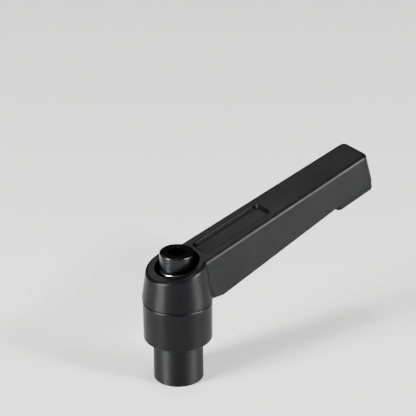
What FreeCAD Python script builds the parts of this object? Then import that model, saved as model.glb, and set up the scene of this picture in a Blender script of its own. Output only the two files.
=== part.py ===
import FreeCAD, Part
import math
import os

import Sketcher
from FreeCAD import Placement, Rotation, Vector

# Adjustable clamping lever with an internal M8 thread.
#
# Four pieces: the die-cast lever handle, the threaded steel insert that it
# grips through a ring of teeth, the retaining screw in the insert, and the
# compression spring between the screw's head and the handle's web. One size
# named Play or Relief is the clearance at each place where pieces meet.
#
# Frame: the hub's axis is Z, the insert's lower face is z = 0 and the arm
# rises towards +X. All sizes are in millimetres, all angles in degrees.

driving_sizes = [
    ("Insert", None, None),
    ("bossRadius", 7.2, "visible lower part of the insert"),
    ("bossEdge", 0.25, "chamfer round the boss's lower face"),
    ("shoulderStep", 0.8, "step out from the boss to the shoulder, which guides the handle"),
    ("shoulderBottom", 13.6, "height at which the shoulder starts"),
    ("crownBottom", 16.3, "lower end of the insert's teeth"),
    ("crownTop", 20.4, "upper face of the insert, which carries the web"),
    ("mainThreadRadius", 4.0, "M8, nominal"),
    ("mainThreadDepth", 12.5, "full depth of the M8 thread"),
    ("mainThreadChamfer", 0.5, "lead-in at the mouth of the M8 thread"),
    ("drillPointDepth", 1.2, "cone left by the drill at the end of a blind hole"),
    ("holeWall", 1.3, "metal left between the M8 hole's point and the M6 hole"),
    ("topThreadChamfer", 0.4, "lead-in at the mouth of the M6 hole"),
    ("Teeth", None, None),
    ("toothCount", 24, "teeth round the crown and round the handle's bore"),
    ("toothHeight", 0.75, "radial height of a tooth"),
    ("toothTipWidth", 0.55, "width of a crown tooth at its tip"),
    ("toothRootWidth", 1.15, "width of a crown tooth at its root"),
    ("toothPlay", 0.06, "gap between two flanks in mesh"),
    ("toothRelief", 0.1, "radial gap between a tip and the root facing it"),
    ("bodyPlay", 0.05, "radial running fit of the handle on the shoulder"),
    ("toothEntry", 0.4, "distance by which the handle's teeth start above the crown's"),
    ("Screw", None, None),
    ("screwRadius", 3.0, "M6, nominal"),
    ("screwTipGap", 1.2, "gap between the screw's end and the floor of its hole"),
    ("screwTipChamfer", 0.6, "point of the screw"),
    ("threadPlay", 0.01, "radial gap between the screw and its hole"),
    ("headRadius", 5.0, "M6 socket head"),
    ("headBottom", 35.47, "seat of the head on the spring"),
    ("headHeight", 4.83, "height of the head"),
    ("headEdge", 0.45, "rounding round the head's top"),
    ("socketFlats", 5.0, "width across the flats of the hexagon socket"),
    ("socketDepth", 3.0, "depth of the hexagon socket"),
    ("socketCountersink", 0.35, "bevel round the mouth of the socket"),
    ("Spring", None, None),
    ("wireRadius", 0.5, "spring wire in the open coils"),
    ("endCoilRadius", 0.55, "section of the closed coil at each end"),
    ("springRadius", 4.5, "mean radius of the coil"),
    ("springTurns", 4.25, "open turns between the two closed ends"),
    ("Hub and skirt", None, None),
    ("skirtBottom", 13.0, "lower edge of the skirt"),
    ("skirtDraft", 0.6, "draft of the skirt"),
    ("skirtEdge", 0.3, "rounding of the skirt's lower rim"),
    ("partLine", 25.42, "height of the casting's parting line on the hub"),
    ("hubRadius", 10.27, "hub at the parting line"),
    ("rimStep", 0.21, "step in from the hub's rim to the skirt below it"),
    ("hubDraft", 7.6, "half angle of the hub's cone"),
    ("hubEdge", 0.2, "rounding of the hub's lower rim"),
    ("grooveDepth", 0.5, "groove turned under the hub's rim, where the flash is trimmed"),
    ("grooveHeight", 0.6, "height of the groove's sloping flank"),
    ("grooveRounding", 0.8, "rounding from the groove's flank into the skirt"),
    ("topHeight", 36.5, "height at which the sloping top face crosses the axis"),
    ("armAngle", 15.0, "slope of the top face"),
    ("pocketRadius", 6.5, "pocket for the spring and the screw's head"),
    ("webTop", 23.0, "floor of the pocket"),
    ("webHoleRadius", 3.2, "clearance hole for the screw"),
    ("boreEdge", 0.3, "bevel round the mouth of the handle's bore"),
    ("Arm", None, None),
    ("armHalfWidthHub", 6.9, "half width of the arm's top face at the axis"),
    ("armHalfWidthTip", 5.77, "half width at the tip"),
    ("tipTop", 65.2, "distance of the tip's upper edge from the axis"),
    ("tipLean", 15.0, "lean of the end face from the vertical"),
    ("undersideSetOff", 0.93, "distance from the hub's rim to where the underside starts to rise"),
    ("undersideAngle", 19.04, "slope of the underside"),
    ("tipCornerRadius", 2.0, "rounding of the tip's upright corners"),
    ("junctionRadius", 0.3, "fillet where the arm's sides meet the hub"),
    ("topEdgeRadius", 1.0, "rounding round the whole top face"),
    ("lipReach", 11.65, "distance of the lip's inner end from the tip's upper edge"),
    ("lipDepth", 2.6, "drop of the lip below the underside, at its inner end"),
    ("lipDraft", 9.0, "draft of the lip's sides below the parting line"),
    ("lipStep", 0.12, "step of the lip's sides at the parting line"),
    ("lipCornerRadius", 2.0, "rounding of the lip's inner upright corners"),
    ("lipEdgeRadius", 1.4, "rounding round the lip's lower face"),
    ("Panel", None, None),
    ("panelStart", 8.35, "near end of the sunk panel, along the top face"),
    ("panelEnd", 31.7, "far end of the sunk panel, along the top face"),
    ("panelHalfWidth", 3.45, "half width of the sunk panel"),
    ("panelDepth", 1.0, "depth of the sunk panel"),
    ("panelCornerRadius", 1.4, "corners of the sunk panel"),
    ("panelFloorRadius", 0.35, "fillet round the panel's floor"),
    ("panelRimRadius", 0.6, "rounding round the panel's rim"),
]

# two points closer than this are the same
sameSpot = 0.002

doc = FreeCAD.newDocument("ClampingLever")
sheet = doc.addObject("Spreadsheet::Sheet", "Sizes")
for row, (name, value, meaning) in enumerate(driving_sizes, start=1):
    sheet.set("A" + str(row), name)
    if value is not None:
        sheet.set("B" + str(row), str(value))
        sheet.set("C" + str(row), meaning)
        sheet.setAlias("B" + str(row), name)
doc.recompute()


def new_body(label):
    body = doc.addObject("PartDesign::Body", label)
    body.Label = label
    return body


def new_sketch(body, name, role):
    sketch = body.newObject("Sketcher::SketchObject", name)
    planes = [plane for plane in body.Origin.OriginFeatures if plane.Role == role]
    sketch.AttachmentSupport = (planes[0], "")
    sketch.MapMode = "FlatFace"
    return sketch


def tilt_sketch(sketch, x, z, angle):
    # moves the sketch's plane to (x, 0, z) and turns it about Y, rising towards +X
    turn = Rotation(Vector(0, 1, 0), -sketch.evalExpression(angle))
    sketch.AttachmentOffset = Placement(Vector(0, 0, 0), turn)
    sketch.setExpression("AttachmentOffset.Base.x", x)
    sketch.setExpression("AttachmentOffset.Base.z", z)
    sketch.setExpression("AttachmentOffset.Rotation.Angle", "-(" + angle + ")")


def place_point(sketch, geometry, end, x, y):
    # ties one end of a sketch element to its two coordinates
    for kind, axis, expression in (("DistanceX", -2, x), ("DistanceY", -1, y)):
        value = sketch.evalExpression(expression)
        if expression == "0":
            sketch.addConstraint(Sketcher.Constraint("PointOnObject", geometry, end, axis))
        else:
            tie = Sketcher.Constraint(kind, -1, 1, geometry, end, float(value))
            index = sketch.addConstraint(tie)
            sketch.setExpression("Constraints[" + str(index) + "]", expression)


def add_outline(sketch, corners):
    # closed outline of straight lines through corners given as expressions
    points = [
        Vector(float(sketch.evalExpression(x)), float(sketch.evalExpression(y)), 0)
        for x, y in corners
    ]
    count = len(points)
    for index in range(count):
        line = Part.LineSegment(points[index], points[(index + 1) % count])
        sketch.addGeometry(line)
    for index in range(count):
        following = (index + 1) % count
        tie = Sketcher.Constraint("Coincident", index, 2, following, 1)
        sketch.addConstraint(tie)
    for index, (x, y) in enumerate(corners):
        place_point(sketch, index, 1, x, y)


def round_corner(sketch, line, radius):
    # tangent arc at the end of one line of an outline
    size = float(sketch.evalExpression(radius))
    before = sketch.GeometryCount
    sketch.fillet(line, 2, size, True, True)
    tie = sketch.addConstraint(Sketcher.Constraint("Radius", before, size))
    sketch.setExpression("Constraints[" + str(tie) + "]", radius)


def add_circle(sketch, x, y, radius):
    middle = Vector(float(sketch.evalExpression(x)), float(sketch.evalExpression(y)), 0)
    size = float(sketch.evalExpression(radius))
    index = sketch.addGeometry(Part.Circle(middle, Vector(0, 0, 1), size))
    place_point(sketch, index, 3, x, y)
    tie = sketch.addConstraint(Sketcher.Constraint("Radius", index, size))
    sketch.setExpression("Constraints[" + str(tie) + "]", radius)


def add_turned(body, kind, name, sketch):
    # full turn of a profile about the sketch's upright axis
    feature = body.newObject(kind, name)
    feature.Profile = sketch
    feature.ReferenceAxis = (sketch, ["V_Axis"])
    feature.Angle = 360
    doc.recompute()
    return feature


def add_side_cut(body, name, sketch):
    # cuts right across the body, half to each side of the mid-plane
    pocket = body.newObject("PartDesign::Pocket", name)
    pocket.Profile = sketch
    pocket.Type = "Length"
    pocket.SideType = "Symmetric"
    pocket.setExpression("Length", "4 * Sizes.hubRadius")
    doc.recompute()
    return pocket


def add_ring_pattern(body, name, original):
    pattern = body.newObject("PartDesign::PolarPattern", name)
    pattern.Originals = [original]
    pattern.Axis = (original.Profile[0], ["N_Axis"])
    pattern.Angle = 360
    pattern.Occurrences = int(sheet.toothCount)
    pattern.setExpression("Occurrences", "Sizes.toothCount")
    body.Tip = pattern
    doc.recompute()
    return pattern


def edges_where(body, test):
    found = []
    for index, edge in enumerate(body.Shape.Edges, start=1):
        if not edge.Degenerated and test(edge):
            found.append("Edge" + str(index))
    return found


def add_rounding(body, kind, name, size, test):
    # fillet or chamfer on the edges that the test picks
    base = body.Tip
    names = edges_where(body, test)
    if not names:
        raise RuntimeError(name + " found no edges")
    feature = body.newObject(kind, name)
    feature.Base = (base, names)
    bound = "Radius" if kind == "PartDesign::Fillet" else "Size"
    feature.setExpression(bound, size)
    doc.recompute()
    return feature


def is_arc_at(edge, radius, height):
    # true for an edge that runs round Z at this radius and height
    points = edge.discretize(5)
    level = all(abs(point.z - height) < sameSpot for point in points)
    return level and all(
        abs(math.hypot(point.x, point.y) - radius) < sameSpot for point in points
    )


def is_upright(edge):
    # true for an edge that climbs more than it runs sideways, away from the mid-plane
    box = edge.BoundBox
    return box.ZLength > 2 * max(box.XLength, box.YLength) and box.YMin * box.YMax > 0


def starts_at(edge, height):
    # true if this is the height of the edge's lowest point
    return abs(min(point.z for point in edge.discretize(5)) - height) < sameSpot


def is_in_slope(edge, offset, angle_tangent):
    # true if the whole edge lies in the plane z = offset + x * angle_tangent
    points = edge.discretize(5)
    return all(abs(point.z - offset - point.x * angle_tangent) < sameSpot for point in points)


armSlope = "tan(Sizes.armAngle * 1deg)"
undersideSlope = "tan(Sizes.undersideAngle * 1deg)"
tipSlope = "tan(Sizes.tipLean * 1deg)"
shoulderRadius = "(Sizes.bossRadius + Sizes.shoulderStep)"
skirtRadius = "(Sizes.hubRadius - Sizes.rimStep)"
lipStart = "(Sizes.tipTop - Sizes.lipReach)"
drillPoint = "(Sizes.mainThreadDepth + Sizes.drillPointDepth)"
topThreadBottom = "(" + drillPoint + " + Sizes.holeWall)"
screwTip = "(" + topThreadBottom + " + Sizes.screwTipGap)"
undersideStart = "(Sizes.hubRadius + Sizes.undersideSetOff)"

# Threaded insert
insert = new_body("threaded_insert")
profile = new_sketch(insert, "InsertProfile", "XZ_Plane")
mainMouth = "Sizes.mainThreadRadius + Sizes.mainThreadChamfer"
topHole = "Sizes.screwRadius + Sizes.threadPlay"
add_outline(
    profile,
    [
        ("0", drillPoint),
        ("Sizes.mainThreadRadius", "Sizes.mainThreadDepth"),
        ("Sizes.mainThreadRadius", "Sizes.mainThreadChamfer"),
        (mainMouth, "0"),
        ("Sizes.bossRadius", "0"),
        ("Sizes.bossRadius", "Sizes.shoulderBottom - Sizes.shoulderStep"),
        (shoulderRadius, "Sizes.shoulderBottom"),
        (shoulderRadius, "Sizes.crownTop"),
        (topHole + " + Sizes.topThreadChamfer", "Sizes.crownTop"),
        (topHole, "Sizes.crownTop - Sizes.topThreadChamfer"),
        (topHole, topThreadBottom),
        ("0", topThreadBottom),
    ],
)
add_turned(insert, "PartDesign::Revolution", "InsertBlank", profile)
add_rounding(
    insert,
    "PartDesign::Chamfer",
    "BossEdge",
    "Sizes.bossEdge",
    lambda edge: is_arc_at(edge, sheet.bossRadius, 0),
)

# one gullet between two crown teeth, cut down from the top face
gulletRoot = "(" + shoulderRadius + " - Sizes.toothHeight)"
pitch = "(2 * pi * {radius} / Sizes.toothCount)"
halfGulletOuter = "(" + pitch.format(radius=shoulderRadius) + " - Sizes.toothTipWidth) / 2"
halfGulletInner = "(" + pitch.format(radius=gulletRoot) + " - Sizes.toothRootWidth) / 2"
outsideCrown = shoulderRadius + " + Sizes.toothHeight"
gullet = new_sketch(insert, "GulletOutline", "XY_Plane")
gullet.AttachmentOffset = Placement(Vector(0, 0, 0), Rotation())
gullet.setExpression("AttachmentOffset.Base.z", "Sizes.crownBottom")
add_outline(
    gullet,
    [
        (gulletRoot, "-(" + halfGulletInner + ")"),
        (shoulderRadius, "-(" + halfGulletOuter + ")"),
        (outsideCrown, "-(" + halfGulletOuter + ")"),
        (outsideCrown, halfGulletOuter),
        (shoulderRadius, halfGulletOuter),
        (gulletRoot, halfGulletInner),
    ],
)
gulletCut = insert.newObject("PartDesign::Pocket", "Gullet")
gulletCut.Profile = gullet
gulletCut.Type = "Length"
gulletCut.Reversed = True
gulletCut.setExpression("Length", "Sizes.crownTop - Sizes.crownBottom + Sizes.toothHeight")
doc.recompute()
add_ring_pattern(insert, "Crown", gulletCut)

# Retaining screw
screw = new_body("retaining_screw")
profile = new_sketch(screw, "ScrewProfile", "XZ_Plane")
headTop = "Sizes.headBottom + Sizes.headHeight"
add_outline(
    profile,
    [
        ("0", screwTip),
        ("Sizes.screwRadius - Sizes.screwTipChamfer", screwTip),
        ("Sizes.screwRadius", screwTip + " + Sizes.screwTipChamfer"),
        ("Sizes.screwRadius", "Sizes.headBottom"),
        ("Sizes.headRadius", "Sizes.headBottom"),
        ("Sizes.headRadius", headTop),
        ("0", headTop),
    ],
)
add_turned(screw, "PartDesign::Revolution", "ScrewBlank", profile)
add_rounding(
    screw,
    "PartDesign::Fillet",
    "HeadEdge",
    "Sizes.headEdge",
    lambda edge: is_arc_at(edge, sheet.headRadius, sheet.headBottom + sheet.headHeight),
)
socket = new_sketch(screw, "SocketOutline", "XY_Plane")
socket.AttachmentOffset = Placement(Vector(0, 0, 0), Rotation())
socket.setExpression("AttachmentOffset.Base.z", headTop)
halfFlat = "Sizes.socketFlats / 2 * tan(30deg)"
halfAcross = "Sizes.socketFlats / 2"
corner = "Sizes.socketFlats / 2 / cos(30deg)"
add_outline(
    socket,
    [
        (corner, "0"),
        (halfFlat, halfAcross),
        ("-" + halfFlat, halfAcross),
        ("-" + corner, "0"),
        ("-" + halfFlat, "-" + halfAcross),
        (halfFlat, "-" + halfAcross),
    ],
)
socketCut = screw.newObject("PartDesign::Pocket", "Socket")
socketCut.Profile = socket
socketCut.Type = "Length"
socketCut.setExpression("Length", "Sizes.socketDepth")
doc.recompute()
countersink = new_sketch(screw, "CountersinkProfile", "XZ_Plane")
mouthRadius = corner + " + Sizes.socketCountersink / 2"
add_outline(
    countersink,
    [
        ("0", headTop + " - Sizes.socketCountersink - Sizes.socketFlats / 4"),
        (mouthRadius, headTop + " + Sizes.socketCountersink / 2"),
        ("0", headTop + " + Sizes.socketCountersink / 2"),
    ],
)
add_turned(screw, "PartDesign::Groove", "Countersink", countersink)

# Compression spring: round wire, a closed coil at each end
spring = new_body("compression_spring")
for name, height in (
    ("LowerCoil", "Sizes.webTop + Sizes.endCoilRadius"),
    ("UpperCoil", "Sizes.headBottom - Sizes.endCoilRadius"),
):
    section = new_sketch(spring, name + "Section", "XZ_Plane")
    add_circle(section, "Sizes.springRadius", height, "Sizes.endCoilRadius")
    add_turned(spring, "PartDesign::Revolution", name, section)
wire = new_sketch(spring, "WireSection", "XZ_Plane")
add_circle(wire, "Sizes.springRadius", "Sizes.webTop + Sizes.endCoilRadius", "Sizes.wireRadius")
helix = spring.newObject("PartDesign::AdditiveHelix", "OpenCoils")
helix.Profile = wire
helix.ReferenceAxis = (wire, ["V_Axis"])
helix.Mode = "height-turns-angle"
helix.setExpression("Height", "Sizes.headBottom - Sizes.webTop - 2 * Sizes.endCoilRadius")
helix.setExpression("Turns", "Sizes.springTurns")
doc.recompute()

# Lever handle
handle = new_body("handle_casting")

# the arm's outline seen along its end face, padded past the top face
tipHeight = "(Sizes.topHeight + Sizes.tipTop * " + armSlope + ")"
blankDrop = "(2 * " + undersideStart + " * " + tipSlope + ")"
tipCosine = "cos(Sizes.tipLean * 1deg)"
tipSine = "sin(Sizes.tipLean * 1deg)"
planStart = "((Sizes.topHeight - Sizes.partLine + " + blankDrop + ") * " + tipSine + ")"
planEnd = (
    "(Sizes.tipTop * " + tipCosine
    + " + (" + tipHeight + " - Sizes.partLine + " + blankDrop + ") * " + tipSine + ")"
)
plan = new_sketch(handle, "ArmPlan", "XY_Plane")
tilt_sketch(plan, "0", "Sizes.partLine - " + blankDrop, "Sizes.tipLean")
add_outline(
    plan,
    [
        (planStart, "-Sizes.armHalfWidthHub"),
        (planEnd, "-Sizes.armHalfWidthTip"),
        (planEnd, "Sizes.armHalfWidthTip"),
        (planStart, "Sizes.armHalfWidthHub"),
    ],
)
for line in (0, 1):
    round_corner(plan, line, "Sizes.tipCornerRadius")
arm = handle.newObject("PartDesign::Pad", "ArmBlank")
arm.Profile = plan
arm.setExpression("Length", tipHeight)
doc.recompute()

# the underside: level below the hub, then rising towards the tip
beyond = "(Sizes.tipTop + " + tipHeight + " * " + tipSlope + ")"
behind = "-(Sizes.hubRadius + " + tipHeight + " * " + tipSlope + ")"
underside = new_sketch(handle, "UndersideLine", "XZ_Plane")
undersideAt = "Sizes.partLine + ({x} - " + undersideStart + ") * " + undersideSlope
add_outline(
    underside,
    [
        (behind, "0"),
        (beyond, "0"),
        (beyond, undersideAt.format(x=beyond)),
        (undersideStart, "Sizes.partLine"),
        (behind, "Sizes.partLine"),
    ],
)
add_side_cut(handle, "Underside", underside)

# the hub's cone and the skirt below its parting line
profile = new_sketch(handle, "HubProfile", "XZ_Plane")
hubTop = "Sizes.topHeight + Sizes.hubRadius * " + armSlope
skirtHeight = "(Sizes.partLine - Sizes.grooveHeight - Sizes.skirtBottom)"
hubHeight = "(Sizes.topHeight + Sizes.hubRadius * " + armSlope + " - Sizes.partLine)"
skirtEnd = skirtRadius + " - " + skirtHeight + " * tan(Sizes.skirtDraft * 1deg)"
hubEnd = "Sizes.hubRadius - " + hubHeight + " * tan(Sizes.hubDraft * 1deg)"
add_outline(
    profile,
    [
        ("0", "Sizes.skirtBottom"),
        (skirtEnd, "Sizes.skirtBottom"),
        (skirtRadius, "Sizes.partLine - Sizes.grooveHeight"),
        (skirtRadius + " - Sizes.grooveDepth", "Sizes.partLine"),
        ("Sizes.hubRadius", "Sizes.partLine"),
        (hubEnd, hubTop),
        ("0", hubTop),
    ],
)
round_corner(profile, 0, "Sizes.skirtEdge")
round_corner(profile, 1, "Sizes.grooveRounding")
add_turned(handle, "PartDesign::Revolution", "HubAndSkirt", profile)

# the top face of hub and arm is one plane
topCut = new_sketch(handle, "TopFaceLine", "XZ_Plane")
topAt = "Sizes.topHeight + ({x}) * " + armSlope
add_outline(
    topCut,
    [
        (behind, topAt.format(x=behind)),
        (beyond, topAt.format(x=beyond)),
        (beyond, topAt.format(x=beyond) + " + " + tipHeight),
        (behind, topAt.format(x=beyond) + " + " + tipHeight),
    ],
)
add_side_cut(handle, "TopFace", topCut)

# fillets where the arm's sides meet the hub's cone
add_rounding(
    handle,
    "PartDesign::Fillet",
    "HubJunction",
    "Sizes.junctionRadius",
    lambda edge: is_upright(edge) and starts_at(edge, sheet.partLine)
    and 0 < edge.BoundBox.XMin < sheet.hubRadius,
)

# the lip below the parting line: drafted sides, padded down from the underside
alongUnderside = "(({x}) - " + undersideStart + ") / cos(Sizes.undersideAngle * 1deg)"
lipEndX = (
    "(Sizes.tipTop + (" + tipHeight + " - Sizes.partLine + " + undersideStart + " * "
    + undersideSlope + ") * " + tipSlope + ") / (1 + " + undersideSlope + " * " + tipSlope + ")"
)
lipInner = alongUnderside.format(x=lipStart)
lipOuter = alongUnderside.format(x=lipEndX) + " - Sizes.lipStep"
lipOuterHalf = "Sizes.armHalfWidthTip - Sizes.lipStep"
lipLean = "((Sizes.undersideAngle - Sizes.tipLean) * 1deg)"
lipLength = "(" + lipOuter + " - " + lipInner + ") * cos" + lipLean
armTaper = (
    "(Sizes.armHalfWidthHub - Sizes.armHalfWidthTip) / (" + planEnd + " - " + planStart + ")"
)
lipInnerHalf = lipOuterHalf + " + " + lipLength + " * " + armTaper
lipRoom = "(Sizes.lipDepth + Sizes.lipReach * " + undersideSlope + ")"
lipPlan = new_sketch(handle, "LipPlan", "XY_Plane")
tilt_sketch(lipPlan, undersideStart, "Sizes.partLine", "Sizes.undersideAngle")
add_outline(
    lipPlan,
    [
        (lipInner, "-(" + lipInnerHalf + ")"),
        (lipOuter, "-(" + lipOuterHalf + ")"),
        (lipOuter, lipOuterHalf),
        (lipInner, lipInnerHalf),
    ],
)
for line in (0, 1):
    round_corner(lipPlan, line, "Sizes.tipCornerRadius - Sizes.lipStep")
for line in (2, 3):
    round_corner(lipPlan, line, "Sizes.lipCornerRadius")
lip = handle.newObject("PartDesign::Pad", "LipBlank")
lip.Profile = lipPlan
lip.Reversed = True
lip.setExpression("Length", lipRoom)
lip.setExpression("TaperAngle", "-Sizes.lipDraft")
doc.recompute()

# the lip's lower face runs parallel to the top face
lipCut = new_sketch(handle, "LipLine", "XZ_Plane")
lipFaceAt = (
    undersideAt.format(x=lipStart)
    + " - Sizes.lipDepth + ({x} - " + lipStart + ") * " + armSlope
)
lipNear = "(" + lipStart + " - " + lipRoom + ")"
add_outline(
    lipCut,
    [
        (lipNear, lipFaceAt.format(x=lipNear)),
        (lipNear, lipFaceAt.format(x=lipNear) + " - " + lipRoom),
        (beyond, lipFaceAt.format(x=lipNear) + " - " + lipRoom),
        (beyond, lipFaceAt.format(x=beyond)),
    ],
)
add_side_cut(handle, "LipFace", lipCut)

# the cavity: guide bore, toothed bore, web with the screw's hole, pocket
boreRadius = "(" + shoulderRadius + " + Sizes.bodyPlay)"
toothedRadius = "(" + gulletRoot + " + Sizes.toothRelief)"
teethStart = "(Sizes.crownBottom + Sizes.toothEntry)"
cavity = new_sketch(handle, "CavityProfile", "XZ_Plane")
add_outline(
    cavity,
    [
        ("0", "Sizes.skirtBottom"),
        (boreRadius + " + Sizes.boreEdge", "Sizes.skirtBottom"),
        (boreRadius, "Sizes.skirtBottom + Sizes.boreEdge"),
        (boreRadius, teethStart),
        (toothedRadius, teethStart + " + (" + boreRadius + " - " + toothedRadius + ") / 2"),
        (toothedRadius, "Sizes.crownTop"),
        ("Sizes.webHoleRadius", "Sizes.crownTop"),
        ("Sizes.webHoleRadius", "Sizes.webTop"),
        ("Sizes.pocketRadius", "Sizes.webTop"),
        ("Sizes.pocketRadius", hubTop),
        ("0", hubTop),
    ],
)
add_turned(handle, "PartDesign::Groove", "Cavity", cavity)

# one gullet for a crown tooth, half a pitch round from the insert's first gullet
flankSlope = "((Sizes.toothRootWidth - Sizes.toothTipWidth) / Sizes.toothHeight)"
innerRadius = "(" + toothedRadius + " - Sizes.toothHeight)"
halfTooth = (
    "((Sizes.toothTipWidth + " + flankSlope + " * (" + shoulderRadius + " - {radius})) / 2"
    " + Sizes.toothPlay)"
)
outerHalf = halfTooth.format(radius=boreRadius)
innerHalf = halfTooth.format(radius=innerRadius)
handleGullet = new_sketch(handle, "HandleGulletOutline", "XY_Plane")
halfPitch = "180 / Sizes.toothCount"
turn = Rotation(Vector(0, 0, 1), sheet.evalExpression(halfPitch.replace("Sizes.", "")))
handleGullet.AttachmentOffset = Placement(Vector(0, 0, 0), turn)
handleGullet.setExpression("AttachmentOffset.Base.z", "Sizes.crownTop")
handleGullet.setExpression("AttachmentOffset.Rotation.Angle", halfPitch)
add_outline(
    handleGullet,
    [
        (innerRadius, "-" + innerHalf),
        (boreRadius, "-" + outerHalf),
        (boreRadius, outerHalf),
        (innerRadius, innerHalf),
    ],
)
handleGulletCut = handle.newObject("PartDesign::Pocket", "HandleGullet")
handleGulletCut.Profile = handleGullet
handleGulletCut.Type = "Length"
handleGulletCut.setExpression("Length", "Sizes.crownTop - Sizes.crownBottom")
doc.recompute()
add_ring_pattern(handle, "HandleTeeth", handleGulletCut)

# the sunk panel in the arm's top face
topTangent = math.tan(math.radians(sheet.armAngle))
panel = new_sketch(handle, "PanelOutline", "XY_Plane")
tilt_sketch(panel, "0", "Sizes.topHeight", "Sizes.armAngle")
add_outline(
    panel,
    [
        ("Sizes.panelStart", "-Sizes.panelHalfWidth"),
        ("Sizes.panelEnd", "-Sizes.panelHalfWidth"),
        ("Sizes.panelEnd", "Sizes.panelHalfWidth"),
        ("Sizes.panelStart", "Sizes.panelHalfWidth"),
    ],
)
for line in (0, 1, 2, 3):
    round_corner(panel, line, "Sizes.panelCornerRadius")
panelCut = handle.newObject("PartDesign::Pocket", "Panel")
panelCut.Profile = panel
panelCut.Type = "Length"
panelCut.setExpression("Length", "Sizes.panelDepth")
doc.recompute()
panelDrop = sheet.panelDepth / math.cos(math.radians(sheet.armAngle))
add_rounding(
    handle,
    "PartDesign::Fillet",
    "PanelFloor",
    "Sizes.panelFloorRadius",
    lambda edge: is_in_slope(edge, sheet.topHeight - panelDrop, topTangent)
    and edge.BoundBox.XMin > sheet.pocketRadius,
)
add_rounding(
    handle,
    "PartDesign::Fillet",
    "PanelRim",
    "Sizes.panelRimRadius",
    lambda edge: is_in_slope(edge, sheet.topHeight, topTangent)
    and edge.BoundBox.XMin > sheet.pocketRadius
    and max(abs(edge.BoundBox.YMin), abs(edge.BoundBox.YMax)) < sheet.panelHalfWidth + sameSpot,
)

# last roundings: the whole top face, the lip's lower face and the hub's lower rim
def is_outer_top_edge(edge):
    if not is_in_slope(edge, sheet.topHeight, topTangent):
        return False
    for point in edge.discretize(5):
        inPocket = math.hypot(point.x, point.y) < sheet.pocketRadius + sameSpot
        rimReach = sheet.panelRimRadius + sameSpot
        besidePanel = abs(point.y) < sheet.panelHalfWidth + rimReach
        if inPocket or (besidePanel and 0 < point.x < sheet.panelEnd + rimReach):
            return False
    return True


def add_final_rounding(label, base, radius, test):
    names = edges_where(base, test)
    if not names:
        raise RuntimeError(label + " found no edges")
    rounding = doc.addObject("Part::Fillet", label)
    rounding.Base = base
    rounding.Edges = [(int(name[4:]), radius, radius) for name in names]
    doc.recompute()
    return rounding


lipFaceHeight = float(lipCut.evalExpression(lipFaceAt.format(x="0")))
topRounded = add_final_rounding(
    "rounded_top", handle, sheet.topEdgeRadius, is_outer_top_edge
)
lipRounded = add_final_rounding(
    "rounded_lip",
    topRounded,
    sheet.lipEdgeRadius,
    lambda edge: is_in_slope(edge, lipFaceHeight, topTangent),
)
lever = add_final_rounding(
    "lever_handle",
    lipRounded,
    sheet.hubEdge,
    lambda edge: is_arc_at(edge, sheet.hubRadius, sheet.partLine),
)

pieces = [lever, insert, screw, spring]
for item in doc.Objects:
    if "Invalid" in item.State or "Error" in item.State:
        raise RuntimeError(item.Name + " did not compute")
for piece in pieces:
    if piece.Shape.isNull() or not piece.Shape.isValid():
        raise RuntimeError(piece.Label + " is not a valid solid")
    print(piece.Label, round(piece.Shape.Volume, 1), "cubic mm")

os.makedirs("parts", exist_ok=True)
for piece in pieces:
    piece.Shape.exportStep("parts/" + piece.Label + ".step")
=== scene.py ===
import math

import bpy
import numpy as np
from mathutils import Matrix, Vector


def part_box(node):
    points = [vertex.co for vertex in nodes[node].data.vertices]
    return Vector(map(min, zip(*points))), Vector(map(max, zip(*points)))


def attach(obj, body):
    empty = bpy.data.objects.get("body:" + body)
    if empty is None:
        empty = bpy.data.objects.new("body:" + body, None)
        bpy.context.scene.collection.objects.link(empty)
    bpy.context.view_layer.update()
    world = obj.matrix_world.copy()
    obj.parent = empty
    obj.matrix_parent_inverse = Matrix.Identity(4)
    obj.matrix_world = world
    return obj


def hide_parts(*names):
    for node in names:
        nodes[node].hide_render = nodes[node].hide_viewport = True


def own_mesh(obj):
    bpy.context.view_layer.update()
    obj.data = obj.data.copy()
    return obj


# Adjustable clamping lever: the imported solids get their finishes, and the spring and the
# main thread are made here. Lengths are in millimetres, but the lights' places and sizes and
# the camera's place and clip distances are in metres.
mm = 0.001

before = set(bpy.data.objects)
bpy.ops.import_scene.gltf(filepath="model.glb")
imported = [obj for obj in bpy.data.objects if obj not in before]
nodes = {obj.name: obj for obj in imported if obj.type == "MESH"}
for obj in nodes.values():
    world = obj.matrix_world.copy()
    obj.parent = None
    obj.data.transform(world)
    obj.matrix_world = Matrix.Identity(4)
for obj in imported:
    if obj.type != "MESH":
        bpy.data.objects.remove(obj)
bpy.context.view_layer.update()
print("frame loaded:", sorted(nodes))


def toLinear(hexColour):
    # sRGB hex to linear red, green, blue, alpha
    values = [int(hexColour[i:i + 2], 16) / 255 for i in (1, 3, 5)]
    return [v / 12.92 if v <= 0.04045 else ((v + 0.055) / 1.055) ** 2.4 for v in values] + [1.0]


def addNode(tree, kind, settings=None, inputs=None):
    # adds one node, sets its properties, then fills or links its inputs by name or number
    node = tree.nodes.new(kind)
    for name, value in (settings or {}).items():
        setattr(node, name, value)
    for name, value in (inputs or {}).items():
        if isinstance(value, bpy.types.NodeSocket):
            tree.links.new(value, node.inputs[name])
        else:
            node.inputs[name].default_value = value
    return node


def newMaterial(name):
    # a new material with an empty node tree
    material = bpy.data.materials.new(name)
    material.use_nodes = True
    material.node_tree.nodes.clear()
    return material, material.node_tree


# nearly all values of a noise lie between these two
noiseLow, noiseHigh = 0.3, 0.7

powderCoat = {
    "colours": ("#050506", "#080809"), "roughness": (0.31, 0.38), "ior": 1.185, "cloud": 9.0,
    "peel": 1.2, "peelHeight": 0.035, "grain": 0.3, "grainHeight": 0.006,
}


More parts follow.
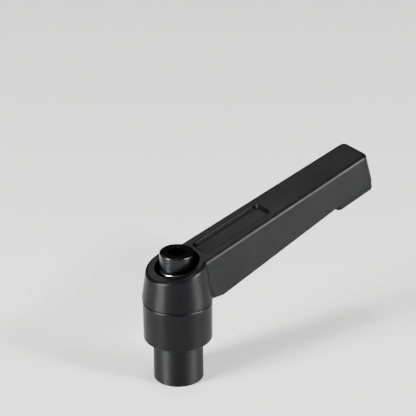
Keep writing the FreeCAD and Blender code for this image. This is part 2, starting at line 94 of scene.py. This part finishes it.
def makePowderCoat():
    # black polyester powder coat on die-cast zinc: even satin black, with a faint orange peel
    # and a fine grain, both of real size, that break up the long highlights, and with slight
    # clouds in colour and gloss. Its IOR starts from the resin's 1.5 and is lowered until
    # the gloss matches, because such a grained coat mirrors less than a smooth film.
    material, tree = newMaterial("satinBlackPowderCoat")
    place = addNode(tree, "ShaderNodeTexCoord").outputs["Object"]
    # three noises, each given by the spacing of its lumps and its detail
    cloud, peel, grain = (
        addNode(
            tree, "ShaderNodeTexNoise",
            inputs={"Vector": place, "Scale": 1 / (spacing * mm), "Detail": detail},
        ).outputs[0]
        for spacing, detail in (
            (powderCoat["cloud"], 3.0), (powderCoat["peel"], 1.0), (powderCoat["grain"], 2.0),
        )
    )
    # inputs 6 and 7 are the two colours and output 2 the mixed one
    colour = addNode(
        tree, "ShaderNodeMix", {"data_type": "RGBA"},
        {"Factor": cloud, 6: toLinear(powderCoat["colours"][0]), 7: toLinear(powderCoat["colours"][1])},
    )
    gloss = addNode(
        tree, "ShaderNodeMapRange",
        inputs={
            "Value": cloud, "From Min": noiseLow, "From Max": noiseHigh,
            "To Min": powderCoat["roughness"][0], "To Max": powderCoat["roughness"][1],
        },
    )
    peelBump = addNode(
        tree, "ShaderNodeBump",
        inputs={"Distance": powderCoat["peelHeight"] * mm, "Height": peel},
    )
    grainBump = addNode(
        tree, "ShaderNodeBump",
        inputs={
            "Distance": powderCoat["grainHeight"] * mm, "Height": grain,
            "Normal": peelBump.outputs[0],
        },
    )
    shader = addNode(
        tree, "ShaderNodeBsdfPrincipled",
        inputs={
            "Base Color": colour.outputs[2], "Roughness": gloss.outputs[0],
            "IOR": powderCoat["ior"], "Normal": grainBump.outputs[0],
        },
    )
    addNode(tree, "ShaderNodeOutputMaterial", inputs={"Surface": shader.outputs[0]})
    return material


turnedInsert = {
    "colours": ("#1d1d1d", "#202021"), "roughness": (0.50, 0.56), "streak": 0.6,
    "cloud": 5.0, "ringSpacing": 0.25, "ringHeight": 0.002,
}
headedScrew = {
    "colours": ("#222223", "#262627"), "roughness": (0.23, 0.28), "streak": 0.0,
    "cloud": 5.0, "ringSpacing": 0.25, "ringHeight": 0.002,
}


def makeBlackenedSteel(name, finish):
    # chemically blackened steel: a thin dark oxide on metal, with a dark grey sheen that
    # changes a little in soft clouds. Faint rings run round the axis: real turning marks are
    # about 0.12 mm apart and these are drawn twice as coarse, so that they show. On the
    # turned insert, streak makes a highlight long along the axis and narrow round it, as
    # such marks do; the screw is pressed smooth and has no streak.
    material, tree = newMaterial(name)
    place = addNode(tree, "ShaderNodeTexCoord").outputs["Object"]
    cloud = addNode(
        tree, "ShaderNodeTexNoise",
        inputs={"Vector": place, "Scale": 1 / (finish["cloud"] * mm), "Detail": 3.0},
    ).outputs[0]
    # one wave is 0.314 / scale of a metre long
    rings = addNode(
        tree, "ShaderNodeTexWave",
        {"wave_type": "BANDS", "bands_direction": "Z", "wave_profile": "SIN"},
        {
            "Vector": place, "Scale": 0.314 / (finish["ringSpacing"] * mm),
            "Distortion": 0.6, "Detail": 1.0, "Detail Scale": 1.5,
        },
    )
    # inputs 6 and 7 are the two colours and output 2 the mixed one
    colour = addNode(
        tree, "ShaderNodeMix", {"data_type": "RGBA"},
        {"Factor": cloud, 6: toLinear(finish["colours"][0]), 7: toLinear(finish["colours"][1])},
    )
    gloss = addNode(
        tree, "ShaderNodeMapRange",
        inputs={
            "Value": cloud, "From Min": noiseLow, "From Max": noiseHigh,
            "To Min": finish["roughness"][0], "To Max": finish["roughness"][1],
        },
    )
    ringBump = addNode(
        tree, "ShaderNodeBump",
        inputs={"Distance": finish["ringHeight"] * mm, "Height": rings.outputs["Fac"]},
    )
    around = addNode(tree, "ShaderNodeTangent", {"direction_type": "RADIAL", "axis": "Z"})
    shader = addNode(
        tree, "ShaderNodeBsdfPrincipled",
        inputs={
            "Base Color": colour.outputs[2], "Metallic": 1.0, "Roughness": gloss.outputs[0],
            "Normal": ringBump.outputs[0], "Anisotropic": finish["streak"],
            "Anisotropic Rotation": 0.25,  # a quarter turn lays the long way along the axis
            "Tangent": around.outputs[0],
        },
    )
    addNode(tree, "ShaderNodeOutputMaterial", inputs={"Surface": shader.outputs[0]})
    return material


drawnWire = {
    "colour": "#a5a4a0", "roughness": (0.19, 0.27), "marksPerCentimetre": 3.0, "marksAround": 90.0,
}


def makeSpringWire():
    # bright drawn spring wire: clean grey metal whose gloss changes in fine drawing marks that
    # run lengthwise, about 3 mm long and a few hundredths wide
    material, tree = newMaterial("brightSpringWire")
    place = addNode(tree, "ShaderNodeUVMap")
    stretched = addNode(
        tree, "ShaderNodeMapping",
        inputs={
            "Vector": place.outputs[0],
            "Scale": (drawnWire["marksPerCentimetre"], drawnWire["marksAround"], 1.0),
        },
    )
    marks = addNode(
        tree, "ShaderNodeTexNoise", inputs={"Vector": stretched.outputs[0], "Scale": 1.0}
    )
    gloss = addNode(
        tree, "ShaderNodeMapRange",
        inputs={
            "Value": marks.outputs[0], "From Min": noiseLow, "From Max": noiseHigh,
            "To Min": drawnWire["roughness"][0], "To Max": drawnWire["roughness"][1],
        },
    )
    shader = addNode(
        tree, "ShaderNodeBsdfPrincipled",
        inputs={
            "Base Color": toLinear(drawnWire["colour"]), "Metallic": 1.0,
            "Roughness": gloss.outputs[0],
        },
    )
    addNode(tree, "ShaderNodeOutputMaterial", inputs={"Surface": shader.outputs[0]})
    return material


insertSteel = makeBlackenedSteel("blackenedInsertSteel", turnedInsert)
for nodeName, material in (
    ("lever_handle", makePowderCoat()),
    ("threaded_insert", insertSteel),
    ("retaining_screw", makeBlackenedSteel("blackenedScrewSteel", headedScrew)),
):
    mesh = nodes[nodeName].data
    mesh.materials.clear()
    mesh.materials.append(material)
print("finishes set on the solids")


def carryProfile(name, path, sideways, upwards, profile, smooth, material):
    # surface(t, s) = path(t) + a(t, s) * sideways(t) + b(t, s) * upwards(t), where profile
    # holds a and b, in millimetres, of a closed outline for each step t of the path; a flat
    # face closes each end. In the UV map, u is the way along the path in centimetres and v
    # the share of the way round.
    steps, points = profile.shape[0], profile.shape[1]
    grid = (
        path[:, None, :]
        + profile[:, :, 0:1] * sideways[:, None, :]
        + profile[:, :, 1:2] * upwards[:, None, :]
    )
    corners = np.arange(steps * points).reshape(steps, points)
    nextCorners = np.roll(corners, -1, axis=1)
    quads = np.stack(
        [corners[:-1], nextCorners[:-1], nextCorners[1:], corners[1:]], axis=-1
    ).reshape(-1, 4)
    ends = [corners[0][::-1].tolist(), corners[-1].tolist()]
    mesh = bpy.data.meshes.new(name)
    mesh.from_pydata((grid.reshape(-1, 3) * mm).tolist(), [], quads.tolist() + ends)
    mesh.polygons.foreach_set("use_smooth", np.full(len(mesh.polygons), smooth))
    along = np.concatenate([[0], np.cumsum(np.linalg.norm(np.diff(path, axis=0), axis=1))]) / 10
    around = np.arange(points) / points
    uv = np.stack(np.broadcast_arrays(along[:, None], around[None, :]), axis=-1).reshape(-1, 2)
    loops = np.empty(len(mesh.loops), dtype=np.int32)
    mesh.loops.foreach_get("vertex_index", loops)
    mesh.uv_layers.new(name="UVMap").data.foreach_set("uv", uv[loops].ravel())
    mesh.materials.append(material)
    mesh.validate()
    mesh.update()
    piece = bpy.data.objects.new(name, mesh)
    bpy.context.scene.collection.objects.link(piece)
    return piece


def helixFrame(angle, radius, height):
    # path = (radius * cos(angle), radius * sin(angle), height), with its outward direction and
    # the direction that is square to both the path and the radius
    outward = np.stack([np.cos(angle), np.sin(angle), np.zeros_like(angle)], axis=-1)
    path = outward * radius
    path[:, 2] = height
    tangent = np.gradient(path, axis=0)
    tangent /= np.linalg.norm(tangent, axis=1)[:, None]
    square = np.cross(outward, tangent)
    square /= np.linalg.norm(square, axis=1)[:, None]
    return path, outward, square


springLow, springHigh = (corner.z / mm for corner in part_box("compression_spring"))
springWire = {
    "bottom": springLow, "top": springHigh,
    "radius": 4.5, "wire": 0.55,  # of the coil to the wire's centre, and of the wire
    "openTurns": 4.0, "endTurns": 1.1, "blendTurns": 0.5,
    "endCentre": 0.2,  # height of the wire's centre over the ground end face
    "tipTurn": 110.0,  # degrees round Z, from +X, of the wire's upper end
    "travel": 4.5, "stepsPerTurn": 72, "around": 28,
}


def makeSpring():
    # round wire on a helix: its pitch is the wire's thickness in the end turns and wide
    # between them, with a smooth step over blendTurns, and the end faces are ground flat by
    # holding every point inside the spring's height
    s = springWire
    turns = s["openTurns"] + 2 * s["endTurns"]
    t = np.linspace(0, turns, int(turns * s["stepsPerTurn"]) + 1)
    ramp = np.clip((np.minimum(t, turns - t) - s["endTurns"]) / s["blendTurns"] + 0.5, 0, 1)
    pitch = ramp * ramp * (3 - 2 * ramp)
    low, high = s["bottom"] + s["endCentre"], s["top"] - s["endCentre"]
    closed = 2 * s["wire"] * t
    extra = np.concatenate([[0], np.cumsum(0.5 * (pitch[1:] + pitch[:-1]) * np.diff(t))])
    height = low + closed + extra * (high - low - closed[-1]) / extra[-1]
    angle = math.radians(s["tipTurn"]) + 2 * np.pi * (t - turns)
    path, outward, square = helixFrame(angle, s["radius"], height)
    turn = np.arange(s["around"]) / s["around"] * 2 * np.pi
    circle = np.stack([np.cos(turn), np.sin(turn)], axis=-1) * s["wire"]
    profile = np.broadcast_to(circle, (len(t), s["around"], 2))
    piece = carryProfile("springCoil", path, outward, square, profile, True, makeSpringWire())
    points = np.empty(len(piece.data.vertices) * 3)
    piece.data.vertices.foreach_get("co", points)
    points = points.reshape(-1, 3)
    points[:, 2] = np.clip(points[:, 2], s["bottom"] * mm, s["top"] * mm)
    piece.data.vertices.foreach_set("co", points.ravel())
    piece.data.update()
    return piece


spring = makeSpring()
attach(spring, "turning")
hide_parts("compression_spring")
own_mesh(spring)
print("spring made")

mainThread = {
    "wall": 4.0, "crest": 3.35,  # radii of the bore's wall and of the ridge's crest
    "pitch": 1.25, "start": 0.75, "end": 12.0,
    "crestWidth": 0.17, "rootWidth": 1.05, "stepsPerTurn": 72,
    "sunk": 0.02,  # how far the ridge's root lies inside the wall
    "runOut": 0.6, "leastShare": 0.02,  # turns over which it grows, from this share of its height
}


def makeThread():
    # one ridge of the M8 thread on a helix inside the bore: a flat-topped V that grows out of
    # the wall over part of a turn and sinks back into it at the other end
    m = mainThread
    turns = (m["end"] - m["start"]) / m["pitch"]
    t = np.linspace(0, turns, int(turns * m["stepsPerTurn"]) + 1)
    root = m["wall"] + m["sunk"]
    path, outward, square = helixFrame(2 * np.pi * t, root, m["start"] + t * m["pitch"])
    grow = np.clip(np.minimum(t, turns - t) / m["runOut"], m["leastShare"], 1)
    profile = np.zeros((len(t), 4, 2))
    profile[:, 1:3, 0] = -(root - m["crest"]) * grow[:, None]
    widths = np.array([m["rootWidth"], m["crestWidth"], -m["crestWidth"], -m["rootWidth"]])
    profile[:, :, 1] = widths / 2
    return carryProfile("mainThreadRidge", path, outward, square, profile, False, insertSteel)


thread = makeThread()
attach(thread, "insert")
print("thread made")


studioFloor = {
    "colour": "#f4f4f3", "roughness": 0.30, "size": 6000.0,
    "fibre": 1.2, "fibreHeight": 0.01, "fibreStrength": 0.1,
}


def makeFloor():
    # satin white card under the boss: pale and even, with sheen enough to carry the low side
    # lights to the upright walls that mirror it
    f = studioFloor
    material, tree = newMaterial("satinWhiteCard")
    place = addNode(tree, "ShaderNodeTexCoord").outputs["Object"]
    fibre = addNode(
        tree, "ShaderNodeTexNoise",
        inputs={"Vector": place, "Scale": 1 / (f["fibre"] * mm), "Detail": 3.0},
    )
    bump = addNode(
        tree, "ShaderNodeBump",
        inputs={
            "Strength": f["fibreStrength"], "Distance": f["fibreHeight"] * mm,
            "Height": fibre.outputs[0],
        },
    )
    shader = addNode(
        tree, "ShaderNodeBsdfPrincipled",
        inputs={
            "Base Color": toLinear(f["colour"]), "Roughness": f["roughness"],
            "Normal": bump.outputs[0],
        },
    )
    addNode(tree, "ShaderNodeOutputMaterial", inputs={"Surface": shader.outputs[0]})
    half = f["size"] / 2 * mm
    mesh = bpy.data.meshes.new("studioFloor")
    mesh.from_pydata(
        [(-half, -half, 0), (half, -half, 0), (half, half, 0), (-half, half, 0)], [], [(0, 1, 2, 3)]
    )
    mesh.materials.append(material)
    floor = bpy.data.objects.new("studioFloor", mesh)
    bpy.context.scene.collection.objects.link(floor)


# The camera stands at 234 degrees round Z. A low soft box to its left and one to its right
# light the sloped walls directly and the upright ones through the floor's sheen. A small
# higher one over each lights the edges and the spring, one above puts a glint on the far side
# of the socket's mouth, and one behind gives the arm's top its sheen.
lights = {
    "leftBox": {"turn": 177, "height": 9, "distance": 0.75, "size": (0.28, 0.21), "power": 22.0},
    "rightBox": {"turn": 302, "height": 9, "distance": 0.75, "size": (0.30, 0.20), "power": 17.0},
    "leftHigh": {"turn": 172, "height": 41, "distance": 0.9, "size": (0.16, 0.16), "power": 6.5},
    "rightHigh": {"turn": 291, "height": 35, "distance": 0.9, "size": (0.10, 0.10), "power": 8.0},
    "above": {"turn": 54, "height": 86, "distance": 0.9, "size": (0.16, 0.10), "power": 3.2},
    "behind": {"turn": 76, "height": 48, "distance": 1.0, "size": (0.30, 0.30), "power": 1.4},
}
lightAim = (0.02, 0.0, 0.025)


def addLight(name, turn, height, distance, size, power):
    # a soft box that faces the lever and is seen from it at this turn round Z and this height,
    # both in degrees
    light = bpy.data.lights.new(name, "AREA")
    light.shape = "RECTANGLE"
    light.size, light.size_y = size
    light.energy = power
    a, e = math.radians(turn), math.radians(height)
    away = Vector((math.cos(a) * math.cos(e), math.sin(a) * math.cos(e), math.sin(e)))
    facing = (-away).to_track_quat("-Z", "Y").to_matrix().to_4x4()
    lamp = bpy.data.objects.new(name, light)
    lamp.matrix_world = Matrix.Translation(Vector(lightAim) + distance * away) @ facing
    bpy.context.scene.collection.objects.link(lamp)


studioWorld = {"colour": "#ffffff", "strength": 0.05}


def makeWorld():
    # a weak even white all round
    world = bpy.data.worlds.new("studioWorld")
    world.use_nodes = True
    background = world.node_tree.nodes["Background"]
    background.inputs["Color"].default_value = toLinear(studioWorld["colour"])
    background.inputs["Strength"].default_value = studioWorld["strength"]
    bpy.context.scene.world = world


viewCamera = {
    "place": (-0.44687, -0.62171, 0.43545), "forward": (0.530866, 0.720575, -0.446042),
    "up": (0.273324, 0.352622, 0.894959), "lens": 263.077, "sensor": 36.0, "clip": (0.05, 20.0),
}


def makeCamera():
    # stands where the outline of hub, boss and arm fits the photograph
    data = bpy.data.cameras.new("viewCamera")
    data.lens = viewCamera["lens"]
    data.sensor_width = viewCamera["sensor"]
    data.clip_start, data.clip_end = viewCamera["clip"]
    forward = Vector(viewCamera["forward"]).normalized()
    right = forward.cross(Vector(viewCamera["up"])).normalized()
    up = right.cross(forward)
    turn = Matrix((right, up, -forward)).transposed().to_4x4()
    eye = bpy.data.objects.new("viewCamera", data)
    eye.matrix_world = Matrix.Translation(Vector(viewCamera["place"])) @ turn
    bpy.context.scene.collection.objects.link(eye)
    bpy.context.scene.camera = eye


makeFloor()
makeWorld()
for name, settings in lights.items():
    addLight(name, **settings)
makeCamera()
print("studio and camera set")
